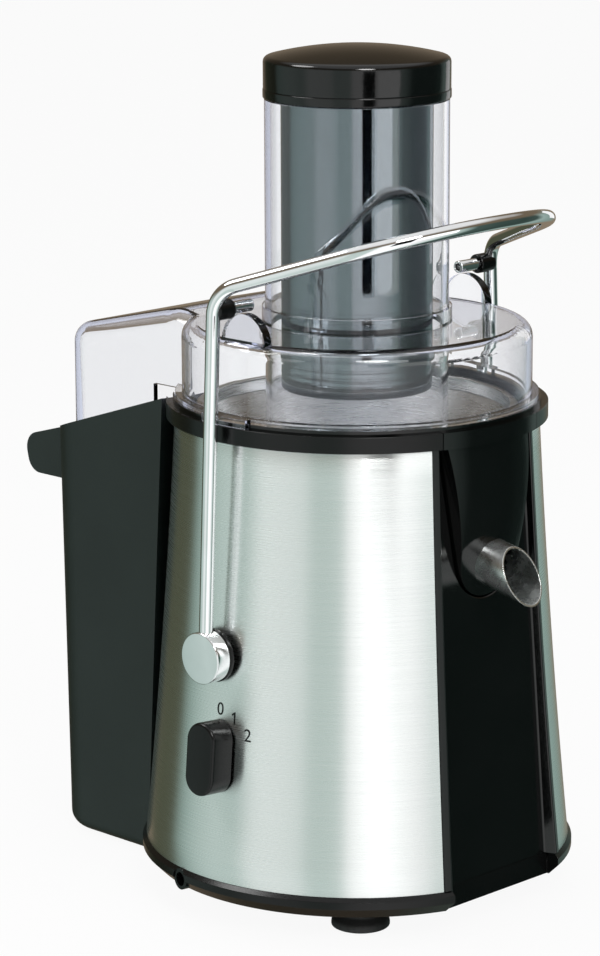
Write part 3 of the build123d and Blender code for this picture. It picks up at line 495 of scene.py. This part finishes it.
pivot = {"z": 127.0, "steps": 72, "discR": 12.0, "discIn": 94.87, "discOut": 102.97,
         "discRounds": {1: 0.7, 2: 0.7}, "washerR": 12.4, "washerIn": 92.87, "washerBore": 4.2,
         "washerRounds": {1: 0.5, 2: 0.5}}
latch = {"z": 285.0, "pinR": 2.9, "pinIn": 69.3, "pinOut": 92.0, "boreR": 1.8, "bore": 6.0,
         "pinRounds": {2: 0.3, 3: 0.5}, "pinSteps": 40, "sleeveR": 4.6, "sleeveIn": 82.0,
         "sleeveRounds": {1: 1.0, 2: 0.6}, "sleeveSteps": 48}
discOutline = [(0, pivot["discIn"]), (pivot["discR"], pivot["discIn"]), (pivot["discR"], pivot["discOut"]),
               (0, pivot["discOut"])]
washerOutline = [(pivot["washerBore"], pivot["washerIn"]), (pivot["washerR"], pivot["washerIn"]),
                 (pivot["washerR"], pivot["discIn"]), (pivot["washerBore"], pivot["discIn"])]
boreEnd = latch["pinIn"] + latch["bore"]
pinOutline = [(0, boreEnd), (latch["boreR"], boreEnd), (latch["boreR"], latch["pinIn"]),
              (latch["pinR"], latch["pinIn"]), (latch["pinR"], latch["pinOut"]), (0, latch["pinOut"])]
sleeveOutline = [(latch["pinR"], latch["sleeveIn"]), (latch["sleeveR"], latch["sleeveIn"]),
                 (latch["sleeveR"], latch["pinOut"]), (latch["pinR"], latch["pinOut"])]


def sideways(bm, height, side):
    bmesh.ops.transform(bm, verts=bm.verts, matrix=Matrix.Translation((0, 0, height))
                        @ Matrix.Rotation(radians(90 * side), 4, "Y"))
    return bm


for side, word in ((1, "right"), (-1, "left")):
    bm = turned(discOutline, pivot["discRounds"], closed=False, steps=pivot["steps"])
    sideways(bm, pivot["z"], side)
    makePiece("pivotDisc." + word, bm, "lock_bar", "bar_chrome", "pivot_disc_" + word)
    bm = turned(washerOutline, pivot["washerRounds"], steps=pivot["steps"])
    sideways(bm, pivot["z"], side)
    makePiece("pivotWasher." + word, bm, "lock_bar", "black_satin", "pivot_washer_" + word)
    bm = turned(pinOutline, latch["pinRounds"], closed=False, steps=latch["pinSteps"])
    sideways(bm, latch["z"], side)
    makePiece("latchPin." + word, bm, "lock_bar", "bar_chrome", "latch_pin_" + word)
    bm = turned(sleeveOutline, latch["sleeveRounds"], steps=latch["sleeveSteps"])
    sideways(bm, latch["z"], side)
    makePiece("latchSleeve." + word, bm, "lock_bar", "black_satin", "latch_sleeve_" + word)
print("locking bar done")


# Knob and its numerals

knob = {"width": 17.0, "height": 34.0, "back": 0.8, "front": 13.5, "edge": 1.6, "edgeSteps": 4,
        "endSteps": 14, "centre": (-94.96, -4.0, 80.4), "outward": (-0.9953, -0.0419, 0.0869)}
outward = Vector(knob["outward"]).normalized()
sideDirection = Vector((0, 0, 1)).cross(outward).normalized()
upDirection = outward.cross(sideDirection)
knobTurn = Matrix((sideDirection, upDirection, outward)).transposed().to_4x4()
bm = bmesh.new()
bmesh.ops.create_grid(bm, x_segments=1, y_segments=1, size=0.5)
bmesh.ops.scale(bm, verts=bm.verts, vec=(knob["width"], knob["height"], 1))
bmesh.ops.bevel(bm, geom=bm.verts[:], offset=knob["width"] / 2, segments=knob["endSteps"], profile=0.5,
                affect="VERTICES", material=-1)
merge(bm)
bmesh.ops.translate(bm, verts=bm.verts, vec=(0, 0, knob["back"]))
top = vertsOf(bmesh.ops.extrude_face_region(bm, geom=bm.faces[:])["geom"])
bmesh.ops.translate(bm, verts=top, vec=(0, 0, knob["front"] - knob["back"]))
bm.normal_update()
rim = [edge for edge in bm.edges if all(vert in top for vert in edge.verts)]
bmesh.ops.bevel(bm, geom=rim, offset=knob["edge"], segments=knob["edgeSteps"], profile=0.5, affect="EDGES",
                material=-1)
bmesh.ops.recalc_face_normals(bm, faces=bm.faces)
bmesh.ops.transform(bm, verts=bm.verts, matrix=Matrix.Translation(knob["centre"]) @ knobTurn)
makePiece("speedKnob", bm, "speed_knob", "black_satin", "speed_knob")

marks = {"letterSize": 8.4, "thick": 0.05, "off": 0.06,
         "spots": {"0": (-3.3, 101.9), "1": (-11.5, 99.2), "2": (-19.5, 92.2)},
         "one": ((0.85, -2.9), (0.85, 2.9), (0.25, 2.9), (-1.15, 1.8), (-1.15, 1.0), (0.05, 1.75),
                 (0.05, -2.9))}


def writtenDigit(digit):
    curve = bpy.data.curves.new("mark", "FONT")
    curve.body = digit
    curve.size = marks["letterSize"]
    curve.extrude = marks["thick"]
    curve.align_x = "CENTER"
    curve.align_y = "CENTER"
    flat = bpy.data.objects.new("mark", curve)
    mesh = bpy.data.meshes.new_from_object(flat)
    bpy.data.objects.remove(flat)
    return mesh


# The figure one with its flag, which the built-in letters lack
def flaggedOne():
    bm = bmesh.new()
    bm.faces.new([bm.verts.new((x, y, -marks["thick"])) for x, y in marks["one"]])
    raised = vertsOf(bmesh.ops.extrude_face_region(bm, geom=bm.faces[:])["geom"])
    bmesh.ops.translate(bm, verts=raised, vec=(0, 0, 2 * marks["thick"]))
    bmesh.ops.recalc_face_normals(bm, faces=bm.faces)
    return meshOf("mark", bm)


for digit, (across, height) in marks["spots"].items():
    mesh = flaggedOne() if digit == "1" else writtenDigit(digit)
    radius = shellRadius(height)
    away = Vector((-sqrt(radius ** 2 - across ** 2), across, 0)).normalized()
    beside = Vector((0, 0, 1)).cross(away)
    spot = away * (radius + marks["off"]) + Vector((0, 0, height))
    slant = (away * (shellRadius(height + 1) - shellRadius(height)) + Vector((0, 0, 1))).normalized()
    turn = Matrix((beside, slant, beside.cross(slant))).transposed().to_4x4()
    mesh.transform(home @ Matrix.Translation(spot) @ turn)
    putIn(mesh, "mark." + digit, "housing", "black_satin", ())
print("knob and numerals done")


# Pulp bin

pulpBin = {"edge": 0.9}
finishedCopy("pulpBin", "pulp_bin", pulpBin["edge"])
print("bin done")


# Floor, light and camera

view = {"azimuth": -46.3, "distance": 1623.2, "height": 567.6, "pitch": 12.97, "yaw": 0.94, "roll": -0.2,
        "focusPixels": 3563.2, "imageHeight": 956, "sensor": 36.0, "reach": 20.0}


# A point in the frame, from degrees to the right of the camera, distance from the axis and height
def roundAxis(angle, distance, height):
    turn = radians(view["azimuth"] + angle)
    return home @ Vector((distance * sin(turn), -distance * cos(turn), height))


camera = bpy.data.cameras.new("photoView")
camera.sensor_width = view["sensor"]
camera.lens = view["focusPixels"] / view["imageHeight"] * view["sensor"]
camera.clip_end = view["reach"]
eye = bpy.data.objects.new("photoView", camera)
scene.collection.objects.link(eye)
eye.location = roundAxis(0, view["distance"], view["height"])
eye.rotation_euler = (Matrix.Rotation(radians(view["azimuth"] + view["yaw"]), 3, "Z")
                      @ Matrix.Rotation(radians(90 - view["pitch"]), 3, "X")
                      @ Matrix.Rotation(radians(view["roll"]), 3, "Z")).to_euler()
scene.camera = eye

# The first three lamps light the scene and are not mirrored; gloss alone shows the other two
aimHeight = 170
lamps = {"key": {"angle": 20, "distance": 1300, "height": 1250, "power": 9.0, "size": 0.9, "gloss": False},
         "fill": {"angle": -55, "distance": 1400, "height": 900, "power": 5.0, "size": 1.0, "gloss": False},
         "top": {"angle": -160, "distance": 300, "height": 1700, "power": 6.0, "size": 1.2, "gloss": False},
         "glint": {"angle": 12, "distance": 1300, "height": 1250, "power": 10.0, "size": 0.5, "gloss": True},
         "gleam": {"angle": -89, "distance": 1000, "height": 1360, "power": 7.0, "size": 0.6, "gloss": True}}
for name, values in lamps.items():
    lamp = bpy.data.lights.new(name, "AREA")
    lamp.energy = values["power"]
    lamp.shape = "DISK"
    lamp.size = values["size"]
    stand = bpy.data.objects.new(name, lamp)
    scene.collection.objects.link(stand)
    stand.location = roundAxis(values["angle"], values["distance"], values["height"])
    aim = home @ Vector((0, 0, aimHeight)) - stand.location
    stand.rotation_euler = aim.to_track_quat("-Z", "Y").to_euler()
    stand.visible_glossy = values["gloss"]
    stand.visible_diffuse = not values["gloss"]
    stand.visible_transmission = not values["gloss"]

# Brightness of the surroundings that gloss and metal mirror, by degrees to the right of the camera
wallStops = {-160: 0.25, -146: 0.08, -120: 0.08, -113: 0.36, -107: 0.45, -99: 0.55, -85: 0.63, -70: 0.585,
             -60: 0.86, -44: 0.86, -32: 0.82, -26: 0.64, -9: 0.67, -4: 1.08, 11: 1.22, 24: 1.15, 35: 1.0,
             47: 0.80, 60: 0.5, 72: 0.10, 105: 0.06, 122: 0.08, 132: 0.42, 150: 0.32, 166: 0.25, 190: 0.25}
wallTones = {"brown": (1.0, 0.80, 0.58), "brownPast": 160, "brownBefore": -150,
             "olive": (0.92, 1.0, 0.64), "oliveBefore": -118, "dim": (0.58, 1.0, 0.86)}
upper = {"low": 0.12, "high": 0.38, "dusk": (0.16, 0.125, 0.085, 1), "from": 0.55,
         "bright": (0.85, 0.85, 0.85, 1), "to": 0.8}
# The last colour here is the painted pale violet reflection shown in the clear lid's walls
around = {"light": (0.42, 0.42, 0.42, 1), "white": (1, 1, 1, 1), "paintedLidViolet": (0.66, 0.69, 0.80, 1)}
onceReflected = 0.5                          # a glossy depth above this has been reflected
clearDepth = {"middle": 1.5, "reach": 1.0}   # one or two passes through a clear surface
world = bpy.data.worlds.new("studio")
scene.world = world
world.use_nodes = True
world.node_tree.nodes.clear()


# The dimmer the wall, the greener it is, with olive on the far left and brown behind the juicer
def wallColour(angle, level):
    if angle > wallTones["brownPast"] or angle < wallTones["brownBefore"]:
        tone = wallTones["brown"]
    elif angle < wallTones["oliveBefore"]:
        tone = wallTones["olive"]
    else:
        tone = [share + (1 - share) * min(level, 1) for share in wallTones["dim"]]
    return Vector((*(level * share for share in tone), 1))


def worldMix(share, first, second, **colours):
    mix = addNode(world, "ShaderNodeMixRGB", **colours)
    for output, socket in ((share, "Fac"), (first, "Color1"), (second, "Color2")):
        if output:
            join(world, output, mix.inputs[socket])
    return mix.outputs["Color"]


def worldMath(operation, first, second):
    value = addNode(world, "ShaderNodeMath", operation)
    join(world, first, value.inputs[0])
    join(world, second, value.inputs[1])
    return value.outputs["Value"]


def isReflected(tree, path):
    test = addNode(tree, "ShaderNodeMath", "GREATER_THAN")
    test.inputs[1].default_value = onceReflected
    join(tree, path.outputs["Glossy Depth"], test.inputs[0])
    return test.outputs["Value"]


direction = addNode(world, "ShaderNodeTexCoord")
parts = addNode(world, "ShaderNodeSeparateXYZ")
join(world, direction.outputs["Generated"], parts.inputs["Vector"])
turnShare = addNode(world, "ShaderNodeMapRange", From_Min=-pi, From_Max=pi)
join(world, worldMath("ARCTAN2", parts.outputs["Y"], parts.outputs["X"]), turnShare.inputs["Value"])
wall = addNode(world, "ShaderNodeValToRGB")
shares = sorted((((angle + view["azimuth"] + 90) % 360) / 360, wallColour(angle, level))
                for angle, level in wallStops.items())
firstShare, firstColour = shares[0]
lastShare, lastColour = shares[-1]
seamColour = lastColour.lerp(firstColour, (1 - lastShare) / (1 - lastShare + firstShare))
for element in wall.color_ramp.elements:
    element.color = seamColour
for share, colour in shares:
    wall.color_ramp.elements.new(share).color = colour
join(world, turnShare.outputs["Result"], wall.inputs["Fac"])
ceiling = addNode(world, "ShaderNodeValToRGB")
ceiling.color_ramp.elements[0].position = upper["from"]
ceiling.color_ramp.elements[0].color = upper["dusk"]
ceiling.color_ramp.elements[1].position = upper["to"]
ceiling.color_ramp.elements[1].color = upper["bright"]
join(world, parts.outputs["Z"], ceiling.inputs["Fac"])
rise = addNode(world, "ShaderNodeMapRange", From_Min=upper["low"], From_Max=upper["high"])
join(world, parts.outputs["Z"], rise.inputs["Value"])
mirrored = worldMix(rise.outputs["Result"], wall.outputs["Color"], ceiling.outputs["Color"])
rays = addNode(world, "ShaderNodeLightPath")
seen = worldMath("MAXIMUM", rays.outputs["Is Camera Ray"], rays.outputs["Is Transmission Ray"])
backdrop = worldMix(seen, None, None, Color1=around["light"], Color2=around["white"])
# A reflection stays one on its way out through the clear lid
glossy = worldMath("MAXIMUM", rays.outputs["Is Glossy Ray"], isReflected(world, rays))
# Light that only turned inside one clear wall is painted a pale violet: a painted reflection colour on the
# clear lid
turnedInside = addNode(world, "ShaderNodeMath", "COMPARE")
turnedInside.inputs[1].default_value = clearDepth["middle"]
turnedInside.inputs[2].default_value = clearDepth["reach"]
join(world, rays.outputs["Transmission Depth"], turnedInside.inputs[0])
reflection = worldMix(turnedInside.outputs["Value"], mirrored, None, Color2=around["paintedLidViolet"])
sky = addNode(world, "ShaderNodeBackground", Strength=1.0)
join(world, worldMix(glossy, backdrop, reflection), sky.inputs["Color"])
worldOutput = addNode(world, "ShaderNodeOutputWorld")
join(world, sky.outputs["Background"], worldOutput.inputs["Surface"])

# Cards that only gloss sees: a dark and a pale stripe down the pusher and the cap, and a bright right edge
cardDistance = 500.0
cards = {"darkCard": {"angle": 14.0, "half": 62.0, "low": 205.0, "high": 420.0, "shade": 0.0},
         "paleCard": {"angle": 38.0, "half": 120.0, "low": 205.0, "high": 420.0, "shade": 1.5},
         "brightCard": {"angle": 143.0, "half": 70.0, "low": 215.0, "high": 460.0, "shade": 1.0}}


# A stage finish in two shares: what reflected light meets, and what all other light meets
def splitFinish(name):
    finish = bpy.data.materials.new(name)
    finish.use_nodes = True
    finish.node_tree.nodes.clear()
    split = addNode(finish, "ShaderNodeMixShader")
    join(finish, isReflected(finish, addNode(finish, "ShaderNodeLightPath")), split.inputs["Fac"])
    join(finish, split.outputs["Shader"], addNode(finish, "ShaderNodeOutputMaterial").inputs["Surface"])
    return finish, split.inputs[1], split.inputs[2]


def stagePiece(name, bm, finish):
    mesh = meshOf(name, bm)
    mesh.materials.append(finish)
    stand = bpy.data.objects.new(name, mesh)
    scene.collection.objects.link(stand)
    return stand


for name, card in cards.items():
    cardFinish, otherShare, mirrorShare = splitFinish(name)
    join(cardFinish, addNode(cardFinish, "ShaderNodeBsdfTransparent").outputs["BSDF"], otherShare)
    shine = addNode(cardFinish, "ShaderNodeEmission", Strength=card["shade"])
    join(cardFinish, shine.outputs["Emission"], mirrorShare)
    bm = bmesh.new()
    bmesh.ops.create_grid(bm, x_segments=2, y_segments=4, size=0.5)
    bmesh.ops.scale(bm, verts=bm.verts, vec=(2 * card["half"], card["high"] - card["low"], 1))
    bmesh.ops.rotate(bm, verts=bm.verts, cent=(0, 0, 0), matrix=Matrix.Rotation(radians(90), 3, "X"))
    bmesh.ops.rotate(bm, verts=bm.verts, cent=(0, 0, 0),
                     matrix=Matrix.Rotation(radians(view["azimuth"] + card["angle"]), 3, "Z"))
    middle = roundAxis(card["angle"], cardDistance, (card["low"] + card["high"]) / 2)
    bm.transform(Matrix.Translation(middle) @ Matrix.Scale(0.001, 4))
    stand = stagePiece(name, bm, cardFinish)
    stand.visible_camera = False
    stand.visible_diffuse = False
    stand.visible_shadow = False

ground = {"size": 9.0, "colour": (0.86, 0.86, 0.86, 1), "glow": 0.93, "drop": 0.0005}
floorFinish, otherShare, mirrorShare = splitFinish("paleFloor")
matt = addNode(floorFinish, "ShaderNodeBsdfDiffuse", Color=ground["colour"])
glow = addNode(floorFinish, "ShaderNodeEmission")
path = addNode(floorFinish, "ShaderNodeLightPath")
floorSeen = addNode(floorFinish, "ShaderNodeMath", "MAXIMUM")
join(floorFinish, path.outputs["Is Camera Ray"], floorSeen.inputs[0])
join(floorFinish, path.outputs["Is Transmission Ray"], floorSeen.inputs[1])
glowShare = addNode(floorFinish, "ShaderNodeMath", "MULTIPLY")
glowShare.inputs[1].default_value = ground["glow"]
join(floorFinish, floorSeen.outputs["Value"], glowShare.inputs[0])
floorMix = addNode(floorFinish, "ShaderNodeMixShader")
join(floorFinish, glowShare.outputs["Value"], floorMix.inputs["Fac"])
join(floorFinish, matt.outputs["BSDF"], floorMix.inputs[1])
join(floorFinish, glow.outputs["Emission"], floorMix.inputs[2])
join(floorFinish, floorMix.outputs["Shader"], otherShare)
join(floorFinish, addNode(floorFinish, "ShaderNodeBsdfTransparent").outputs["BSDF"], mirrorShare)
bm = bmesh.new()
bmesh.ops.create_grid(bm, x_segments=4, y_segments=4, size=ground["size"])
floor = stagePiece("floor", bm, floorFinish)
floor.location.z = cadBounds[0][2] - ground["drop"]
floor.visible_glossy = False
scene.cycles.max_bounces = 24
scene.cycles.transmission_bounces = 24
scene.view_settings.view_transform = "Standard"
print("floor, light and camera done")
